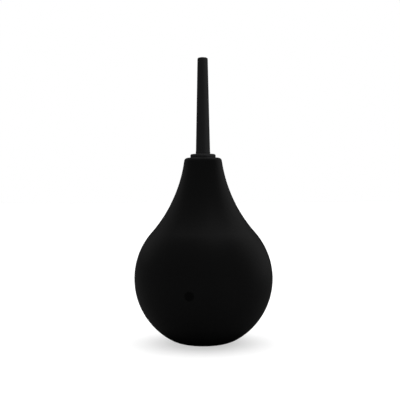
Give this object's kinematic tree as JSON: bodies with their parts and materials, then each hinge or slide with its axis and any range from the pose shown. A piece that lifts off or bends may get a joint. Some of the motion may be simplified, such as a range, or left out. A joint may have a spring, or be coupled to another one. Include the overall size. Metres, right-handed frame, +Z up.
{
  "type": "dust blower bulb",
  "caption": "Pear-shaped black rubber squeeze bulb with a slim tapered nozzle in a flanged neck plug, and a ball check valve in its flat foot.",
  "frame": {"origin": "centre of the flat foot ring, on the surface that the bulb stands on", "axes": "+Z up along the bulb's axis, from the foot to the nozzle's tip"},
  "size_m": [0.076, 0.076, 0.1564],
  "materials": {
    "bulb_rubber": "satin, faintly grained",
    "plug_plastic": "satin, moulded",
    "nozzle_plastic": "satin, moulded",
    "valve_plastic": "matt, moulded",
    "ball_steel": "polished"
  },
  "bodies": {
    "bulb": {"bulb": "bulb_rubber", "valve_body": "valve_plastic", "valve_retainer": "valve_plastic"},
    "neck": {"neck_plug": "plug_plastic"},
    "nozzle": {"nozzle": "nozzle_plastic"},
    "ball": {"valve_ball": "ball_steel"}
  },
  "joints": [
    {"name": "bulb_squeeze", "type": "slide", "parent": "bulb", "child": "neck", "axis": [0, 0, -1], "range_m": [0, 0.025], "stiffness_N_per_m": 1200, "springref_m": -0.0015, "deforming": ["bulb"]},
    {"name": "nozzle_pull", "type": "slide", "parent": "neck", "child": "nozzle", "axis": [0, 0, 1], "range_m": [0, 0.016]},
    {"name": "ball_lift", "type": "slide", "parent": "bulb", "child": "ball", "axis": [0, 0, 1], "range_m": [0, 0.0013]}
  ]
}
